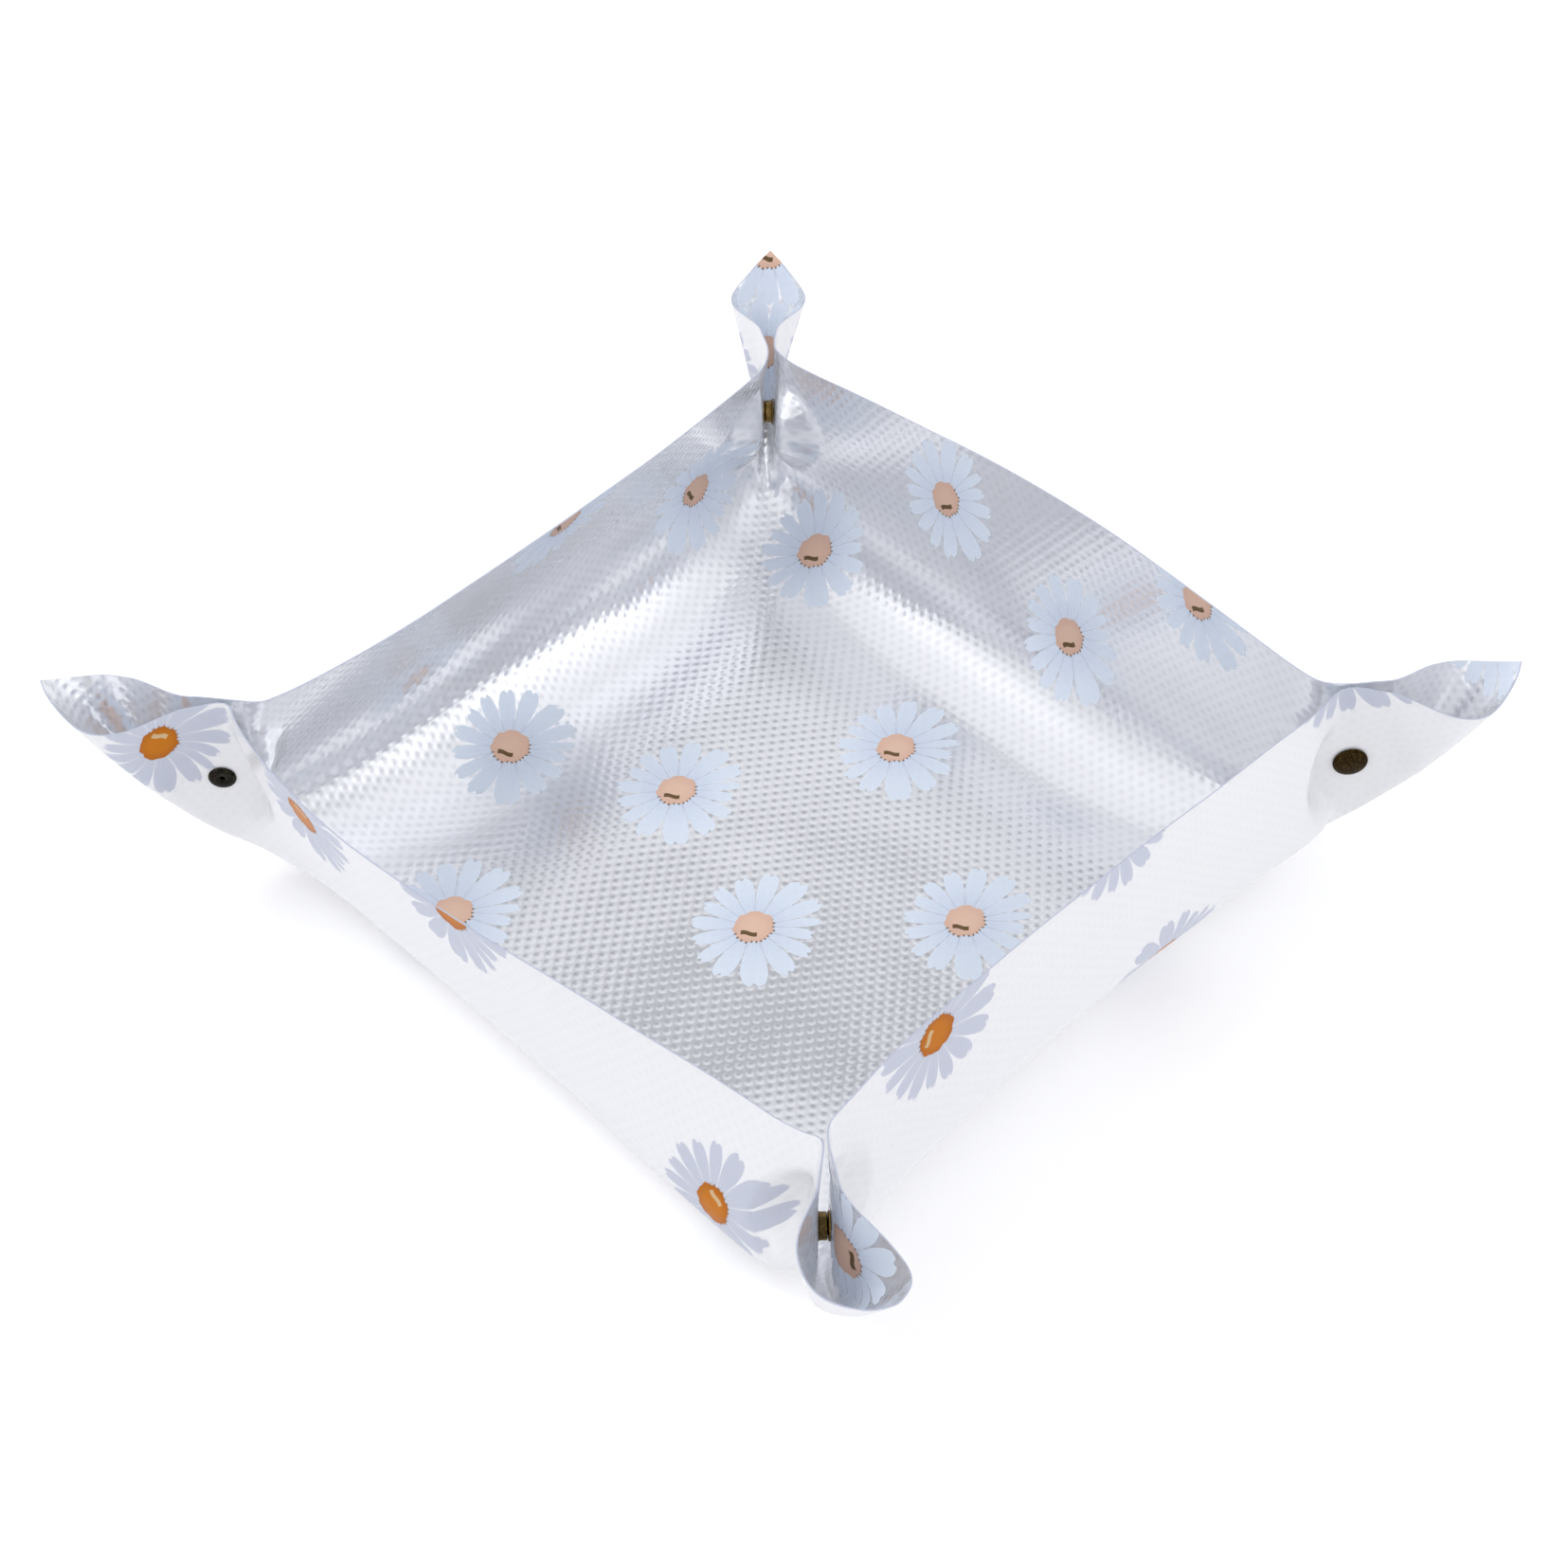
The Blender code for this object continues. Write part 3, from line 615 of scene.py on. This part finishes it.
# Dimples in staggered rows: each is a shallow bowl whose depth falls as (1 - d^2)^2 with the distance d
# from the nearest centre of two lattices that are half a pitch apart both ways.
SCALE_PITCH = 5.65
ROW_PITCH = 7.5
DIMPLE_RADIUS = 2.3
DIMPLE_DEPTH = 0.085
WAVE_HEIGHT = 1.3
MILLIMETRE = 0.001
# The clear film mirrors most on its upper face. The ink is nearly matt.
CLEAR_GLOSS = 0.8
LOST_BELOW = 0.72
INK_GLOSS = 0.02
INK_ROUGHNESS = 0.36
CLEAR_ROUGHNESS = 0.16
uv = n.make("ShaderNodeUVMap", {"uv_map": "flat_place"})
flat_u = (n.make("ShaderNodeSeparateXYZ", None, uv, output=0) - 0.5) * (MAT_SIDE * 1000)
flat_v = (n.make("ShaderNodeSeparateXYZ", None, uv, output=1) - 0.5) * (MAT_SIDE * 1000)


def from_lattice(shift):
    """The squared distance, in square millimetres, to the nearest centre of one lattice."""
    along = (flat_u / SCALE_PITCH + shift).apply("FRACT") - 0.5
    up = (flat_v / ROW_PITCH + shift).apply("FRACT") - 0.5
    return along * along * SCALE_PITCH**2 + up * up * ROW_PITCH**2


inside = (1.0 - from_lattice(0.0).least(from_lattice(0.5)) / DIMPLE_RADIUS**2).most(0.0)
dimple = inside * inside * (1.0 - printed * 0.8) * (1.0 - cut_edge) * (1.0 - below * 0.75)
# The limp sheet isn't quite flat: soft waves, several centimetres long, bend its reflections.
waves = n.make("ShaderNodeTexNoise", None, Vector=uv, Scale=7.0, Detail=1.0)
height = waves * WAVE_HEIGHT - dimple * DIMPLE_DEPTH
relief = n.make("ShaderNodeBump", None, Strength=1.0, Distance=MILLIMETRE, Height=height)
clear = (1.0 - printed) * (1.0 - cut_edge)
gloss = clear * (CLEAR_GLOSS - below * LOST_BELOW) + INK_GLOSS
roughness = INK_ROUGHNESS - clear * (INK_ROUGHNESS - CLEAR_ROUGHNESS)
solidity = (1.0 - clear * 0.09) * (1.0 - seam)
# Each dimple is also darkened towards grey in the base colour: painted shade in the bowls.
color = n.mixed(dimple * 0.2, color, paint(150, 156, 172))
surface = n.make(
    "ShaderNodeBsdfPrincipled", None, Base_Color=color, Metallic=gloss, Roughness=roughness,
    Alpha=solidity, Normal=relief, Specular_IOR_Level=0.12,
)
# Some of the light on the far side comes through, so the flaps aren't dark inside.
glow = n.make("ShaderNodeBsdfTranslucent", None, (0.88, 0.89, 0.92, 1.0))
let_through = (1.0 - seam) * (1.0 - heart * 0.9) * (0.12 + below * 0.12 + printed * 0.1)
shader = n.make("ShaderNodeMixShader", None, let_through, surface, glow)
n.make("ShaderNodeOutputMaterial", None, shader)
for made in [mat_body, *ply_objects]:
    made.data.materials.append(plastic)

# The press studs: five turned or bent pieces of antique brass and steel at each corner. The cap's
# rivet holds the socket on one ply, and the post's holds the stud on the other. A split ring of
# spring wire in the socket grips the stud's head.

# Heights are along the stud's axis, from the middle between the plies towards the cap.
PLY_INNER = SEAT_HALF_GAP - SHEET_THICKNESS / 2
PLY_OUTER = SEAT_HALF_GAP + SHEET_THICKNESS / 2
SOCKET_TOP = PLY_INNER - CLEARANCE
MOUTH = SOCKET_TOP - SOCKET_HEIGHT
STUD_BACK = -PLY_INNER + CLEARANCE
STUD_FLANGE_TOP = STUD_BACK + STUD_FLANGE_THICKNESS
SPRING_WIRE = 0.0004
SPRING_HEIGHT = MOUTH + 0.0012
STUD_HEAD = 0.0033
STUD_NECK = 0.0029
SPRING_RADIUS = STUD_HEAD + SPRING_WIRE * 0.75
SPRING_GAP = 13
SPRING_STEPS = 63
WIRE_SIDES = 12
SOCKET_FLANGE = 0.0063
SOCKET_BODY = 0.0053
SOCKET_BORE = 0.0037
SOCKET_PLATE = 0.0006
STUD_FLANGE = 0.0057
STUD_TOP = MOUTH + 0.0021
STUD_BORE = 0.0019
STUD_WALL = 0.0004
CAP_BACK = PLY_OUTER + CLEARANCE
CAP_RADIUS = 0.0075
POST_FACE = -PLY_OUTER - CLEARANCE
CAP_HEIGHT = 0.0019
DOME_FALL = 0.00085
RIM_RADIUS = 0.00055
RIM_HEIGHT = 0.00052
POST_BORE = 0.00105
POST_SPREAD = STUD_BACK + 0.0007
RIVET = 0.0016
RIVET_HEAD = 0.0022
RIVET_HEAD_THICKNESS = 0.00045
CAP_SPREAD = SOCKET_TOP - 0.0009


def arc(centre, radius, start, end, steps):
    """Points on a quarter or part circle: centre + radius (cos, sin) from start to end degrees."""
    turn = np.radians(np.linspace(start, end, steps))
    return np.column_stack([centre[0] + radius * np.cos(turn), centre[1] + radius * np.sin(turn)])


# A shallow dome, falling as the square of the radius, with a rolled rim and the spread rivet behind.
dome = np.linspace(0.0, 0.92, 12)
cap_line = np.vstack([
    np.column_stack([CAP_RADIUS * dome, CAP_BACK + CAP_HEIGHT - DOME_FALL * dome**2]),
    arc((CAP_RADIUS - RIM_RADIUS, CAP_BACK + RIM_HEIGHT), RIM_RADIUS, 75, -70, 8),
    [(CAP_RADIUS * 0.93, CAP_BACK), (RIVET, CAP_BACK), (RIVET, CAP_SPREAD), (RIVET_HEAD, CAP_SPREAD)],
    [(RIVET_HEAD - 0.0002, CAP_SPREAD - RIVET_HEAD_THICKNESS), (0.0, CAP_SPREAD - RIVET_HEAD_THICKNESS)],
])
# A flanged cup whose wall holds the groove for the spring.
GROOVE = SPRING_RADIUS + SPRING_WIRE + CLEARANCE
GROOVE_HALF = SPRING_WIRE + CLEARANCE / 2
socket_line = np.array([
    (SHEET_HOLE, SOCKET_TOP), (SOCKET_FLANGE - 0.0001, SOCKET_TOP), (SOCKET_FLANGE, SOCKET_TOP - 0.00015),
    (SOCKET_FLANGE, SOCKET_TOP - 0.0004), (SOCKET_FLANGE - 0.0003, SOCKET_TOP - 0.0005),
    (SOCKET_BODY + 0.0003, SOCKET_TOP - 0.0007), (SOCKET_BODY, SOCKET_TOP - 0.0011),
    (SOCKET_BODY, MOUTH + 0.0005), (SOCKET_BODY - 0.0001, MOUTH + 0.0002), (SOCKET_BODY - 0.0004, MOUTH),
    (SOCKET_BORE + 0.0002, MOUTH), (SOCKET_BORE, MOUTH + 0.0002),
    (SOCKET_BORE, SPRING_HEIGHT - GROOVE_HALF), (GROOVE, SPRING_HEIGHT - GROOVE_HALF),
    (GROOVE, SPRING_HEIGHT + GROOVE_HALF), (SOCKET_BORE, SPRING_HEIGHT + GROOVE_HALF),
    (SOCKET_BORE, SOCKET_TOP - SOCKET_PLATE), (SHEET_HOLE, SOCKET_TOP - SOCKET_PLATE),
])
# A flanged tube with a slightly wider head that the spring closes behind.
stud_line = np.array([
    (STUD_BORE, STUD_BACK), (STUD_FLANGE - 0.0001, STUD_BACK), (STUD_FLANGE, STUD_BACK + 0.0001),
    (STUD_FLANGE, STUD_FLANGE_TOP - 0.0003), (STUD_FLANGE - 0.0002, STUD_FLANGE_TOP - 0.0001),
    (STUD_FLANGE - 0.0005, STUD_FLANGE_TOP), (STUD_NECK + 0.0003, STUD_FLANGE_TOP),
    (STUD_NECK, STUD_FLANGE_TOP + 0.0003), (STUD_NECK, SPRING_HEIGHT),
    (STUD_HEAD - 0.0001, SPRING_HEIGHT + 0.0003), (STUD_HEAD, SPRING_HEIGHT + 0.0005),
    (STUD_HEAD - 0.0001, STUD_TOP - 0.0002), (STUD_HEAD - 0.0004, STUD_TOP),
    (STUD_NECK - STUD_WALL, STUD_TOP), (STUD_NECK - STUD_WALL, STUD_BACK + STUD_WALL),
    (STUD_BORE, STUD_BACK + STUD_WALL),
])
# A low dome with a hole through it, and its rivet spread inside the stud.
post_line = np.array([
    (POST_BORE, POST_SPREAD + RIVET_HEAD_THICKNESS), (POST_BORE, POST_FACE - 0.0005),
    (0.0014, POST_FACE - 0.0008), (0.0020, POST_FACE - 0.00098), (0.0033, POST_FACE - 0.0010),
    (0.0045, POST_FACE - 0.0009), (0.0053, POST_FACE - 0.00065), (0.00575, POST_FACE - 0.00035),
    (0.0058, POST_FACE - 0.00015), (0.0056, POST_FACE), (RIVET, POST_FACE), (RIVET, POST_SPREAD),
    (RIVET_HEAD, POST_SPREAD), (RIVET_HEAD - 0.0002, POST_SPREAD + RIVET_HEAD_THICKNESS),
])


def turned_piece(name, line, place, sides=72):
    """A profile of (radius, height) turned about the stud's axis: (r cos t, r sin t, h).

    A profile that starts and ends on the axis closes in a point there, and any other closes on itself."""
    on_axis = line[0, 0] == 0
    ring = line[1:-1] if on_axis else line
    turn = np.linspace(0.0, 2 * math.pi, sides, endpoint=False)
    points = np.stack([
        ring[:, None, 0] * np.cos(turn), ring[:, None, 0] * np.sin(turn), ring[:, None, 1] + 0 * turn
    ], axis=-1).reshape(-1, 3)
    rows = len(ring)
    upto = rows - 1 if on_axis else rows
    i, j = np.meshgrid(np.arange(upto), np.arange(sides), indexing="ij")
    after, right = (i + 1) % rows, (j + 1) % sides
    quads = np.stack([i * sides + j, after * sides + j, after * sides + right, i * sides + right], axis=-1)
    faces = quads.reshape(-1, 4).tolist()
    if on_axis:
        points = np.vstack([points, [(0.0, 0.0, line[0, 1]), (0.0, 0.0, line[-1, 1])]])
        around = np.arange(sides)
        following = (around + 1) % sides
        last = (rows - 1) * sides
        top, bottom = rows * sides, rows * sides + 1
        faces += np.stack([np.full(sides, top), around, following], 1).tolist()
        faces += np.stack([np.full(sides, bottom), last + following, last + around], 1).tolist()
    mesh = bpy.data.meshes.new(name)
    mesh.from_pydata(points.tolist(), [], faces)
    mesh.transform(place)
    mesh.update()
    mesh.shade_smooth()
    mesh.set_sharp_from_angle(angle=math.radians(40))
    made = bpy.data.objects.new(name, mesh)
    bpy.context.scene.collection.objects.link(made)
    return made


def spring_piece(name, place):
    """A wire of round section along most of a circle: the section's angle s and the ring's angle t give
    ((R + r cos s) cos t, (R + r cos s) sin t, r sin s). Its ends are flat."""
    t = np.radians(np.linspace(SPRING_GAP, 360 - SPRING_GAP, SPRING_STEPS + 1))[:, None]
    s = np.linspace(0.0, 2 * math.pi, WIRE_SIDES, endpoint=False)[None]
    ring = SPRING_RADIUS + SPRING_WIRE * np.cos(s)
    height = SPRING_HEIGHT + SPRING_WIRE * np.sin(s) + 0 * t
    points = np.stack([ring * np.cos(t), ring * np.sin(t), height], axis=-1).reshape(-1, 3)
    i, j = np.meshgrid(np.arange(SPRING_STEPS) * WIRE_SIDES, np.arange(WIRE_SIDES), indexing="ij")
    after, right = i + WIRE_SIDES, (j + 1) % WIRE_SIDES
    faces = np.stack([i + j, after + j, after + right, i + right], axis=-1).reshape(-1, 4).tolist()
    last = SPRING_STEPS * WIRE_SIDES
    faces += [list(range(WIRE_SIDES)), list(range(last, last + WIRE_SIDES))[::-1]]
    mesh = bpy.data.meshes.new(name)
    mesh.from_pydata(points.tolist(), [], faces)
    mesh.transform(place)
    mesh.update()
    mesh.shade_smooth()
    mesh.set_sharp_from_angle(angle=math.radians(50))
    made = bpy.data.objects.new(name, mesh)
    bpy.context.scene.collection.objects.link(made)
    return made


def aged_metal(name, dark, worn, roughness, wear):
    """Metal with a dark patina, rubbed brighter in a fine cloudy pattern."""
    made = bpy.data.materials.new(name)
    n = Nodes(made)
    spot = n.make("ShaderNodeTexCoord", output=3)
    cloud = n.make("ShaderNodeTexNoise", None, Vector=spot, Scale=900.0, Detail=4.0)
    rubbed = cloud.ramp(0.42, 0.72) * wear
    color = n.mixed(rubbed, dark, worn)
    shader = n.make(
        "ShaderNodeBsdfPrincipled", None, Base_Color=color, Metallic=1.0, Roughness=rubbed * -0.08 + roughness
    )
    n.make("ShaderNodeOutputMaterial", None, shader)
    return made


finishes = {
    "cap": aged_metal("antique_brass", paint(36, 27, 12), paint(84, 64, 32), 0.24, 0.6),
    "socket": aged_metal("socket_brass", paint(120, 96, 52), paint(176, 148, 92), 0.34, 0.7),
    "spring": aged_metal("spring_steel", paint(150, 150, 150), paint(205, 205, 203), 0.28, 0.7),
    "stud": aged_metal("stud_brass", paint(120, 96, 52), paint(180, 152, 96), 0.32, 0.7),
    "post": aged_metal("blackened_brass", paint(26, 24, 22), paint(70, 64, 52), 0.38, 0.5),
}
lines = {"cap": cap_line, "socket": socket_line, "spring": None, "stud": stud_line, "post": post_line}
for corner_name, corner in CORNERS.items():
    centre, up = stud_place(corner)
    across = Vector(corner_axes(corner)[1])
    centre[2] += SHEET_THICKNESS / 2
    turn = Matrix((Vector(up).cross(across), up, across)).transposed().to_4x4()
    stud_at = Matrix.Translation(centre) @ turn
    for piece, line in lines.items():
        name = f"{piece}_{corner_name}"
        made = spring_piece(name, stud_at) if line is None else turned_piece(name, line, stud_at)
        made.data.materials.append(finishes[piece])
        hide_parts(f"snap_{piece}_{corner_name}")
        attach(made, "mat" if piece in ("stud", "post") else f"cap_side_{corner_name}")

# The studio: a pale floor, a white surround whose soft windows and darker gaps only reflections see,
# and two large soft lamps.

FLOOR_HALF = 6
FLOOR_DROP = 0.0003
floor_mesh = bpy.data.meshes.new("floor")
floor_corners = [(x * FLOOR_HALF, y * FLOOR_HALF, 0) for x, y in ((-1, -1), (1, -1), (1, 1), (-1, 1))]
floor_mesh.from_pydata(floor_corners, [], [(0, 1, 2, 3)])
floor = bpy.data.objects.new("floor", floor_mesh)
floor.data.transform(Matrix.Translation((0, 0, -FLOOR_DROP)))
bpy.context.scene.collection.objects.link(floor)
floor_paint = bpy.data.materials.new("floor_paint")
n = Nodes(floor_paint)
matt = n.make("ShaderNodeBsdfDiffuse", None, Color=(0.86, 0.86, 0.87, 1.0))
glow = n.make("ShaderNodeEmission", None, Color=(1.0, 1.0, 1.0, 1.0), Strength=0.16)
n.make("ShaderNodeOutputMaterial", None, n.make("ShaderNodeAddShader", None, matt, glow))
floor_mesh.materials.append(floor_paint)
# Reflections see the surround below the mat too, and not the floor.
floor.visible_glossy = False

world = bpy.data.worlds.new("studio")
bpy.context.scene.world = world
n = Nodes(world)
way = n.make("ShaderNodeTexCoord", output=0)

# What the gloss sees: a white room with soft windows and darker gaps between them. Each is (turn from
# +X, height above the floor, half width, brightness), in degrees but for the last, and adds its
# brightness times exp(-(1 - cos a) / (1 - cos w)) at a degrees from its middle, for a half width of w.
WINDOWS = (
    (40, 25, 17, 1.0), (-30, 55, 17, 0.7), (70, 35, 17, 0.5), (-75, 5, 17, 0.7), (-150, 35, 17, 0.4),
    (120, 60, 7, 0.6),
)
GAPS = (
    (130, 54, 7, -1.1), (20, 45, 17, -0.5), (10, 10, 17, -0.5), (-130, 15, 17, -0.4), (-45, 20, 17, -0.4),
    (115, 0, 17, -0.4), (15, -35, 17, -0.4),
)
ROOM_BRIGHTNESS = 1.1
DARKEST = 0.03
reflected = ROOM_BRIGHTNESS
for *degrees, brightness in (*WINDOWS, *GAPS):
    turn, height, width = np.radians(degrees).tolist()
    centre = (math.cos(height) * math.cos(turn), math.cos(height) * math.sin(turn), math.sin(height))
    dot = n.make("ShaderNodeVectorMath", {"operation": "DOT_PRODUCT"}, way, centre, output=1)
    reflected = ((dot - 1.0) / (1.0 - math.cos(width))).apply("EXPONENT") * brightness + reflected
reflected = reflected.most(DARKEST)
ray = {name: n.make("ShaderNodeLightPath", output=at) for name, at in (("camera", 0), ("glossy", 3))}
grey = n.make("ShaderNodeCombineColor", None, reflected, reflected + 0.008, reflected + 0.04)
shown = n.mixed(ray["glossy"], (0.96, 0.96, 0.97, 1.0), grey)
shown = n.mixed(ray["camera"], shown, (1.0, 1.0, 1.0, 1.0))
n.make("ShaderNodeOutputWorld", None, n.make("ShaderNodeBackground", None, shown, 1.0))


def soft_lamp(name, at, size, power):
    """A square lamp that faces the mat."""
    light = bpy.data.lights.new(name, "AREA")
    light.size = size
    light.energy = power
    made = bpy.data.objects.new(name, light)
    bpy.context.scene.collection.objects.link(made)
    made.visible_glossy = False
    made.location = at
    made.rotation_euler = (Vector((0, 0, 0.05)) - Vector(at)).to_track_quat("-Z", "Y").to_euler()
    return made


lamps = [
    soft_lamp("key_lamp", (-1.4, -0.9, 2.2), 1.2, 22),
    soft_lamp("fill_lamp", (1.6, 1.1, 1.8), 1.6, 10),
]

# The camera stands where the photograph was taken from: its place and lens come from fitting the
# mat's corners, rims and studs.
AZIMUTH, ELEVATION, ROLL = (math.radians(turn) for turn in (40.8, 45.5, 2.16))
DISTANCE = 1.261
AIM_LEFT = 0.0016
AIM_UP = 0.034
FOCAL_PIXELS = 3060
PHOTO_PIXELS = 1655
SENSOR_WIDTH = 36.0
level = Vector((math.cos(AZIMUTH), math.sin(AZIMUTH), 0.0))
away = Vector((math.sin(AZIMUTH), -math.cos(AZIMUTH), 0.0))
back = away * math.cos(ELEVATION) + Vector((0.0, 0.0, math.sin(ELEVATION)))
rise = back.cross(level)
right = level * math.cos(ROLL) + rise * math.sin(ROLL)
upright = rise * math.cos(ROLL) - level * math.sin(ROLL)
camera = bpy.data.objects.new("camera", bpy.data.cameras.new("camera"))
bpy.context.scene.collection.objects.link(camera)
camera.data.sensor_width = SENSOR_WIDTH
camera.data.lens = SENSOR_WIDTH * FOCAL_PIXELS / PHOTO_PIXELS
eye = back * DISTANCE - right * AIM_LEFT + upright * AIM_UP + Vector((0, 0, SHEET_THICKNESS / 2))
camera.matrix_world = Matrix.Translation(eye) @ Matrix((right, upright, back)).transposed().to_4x4()
bpy.context.scene.camera = camera
bpy.context.scene.view_settings.view_transform = "Standard"
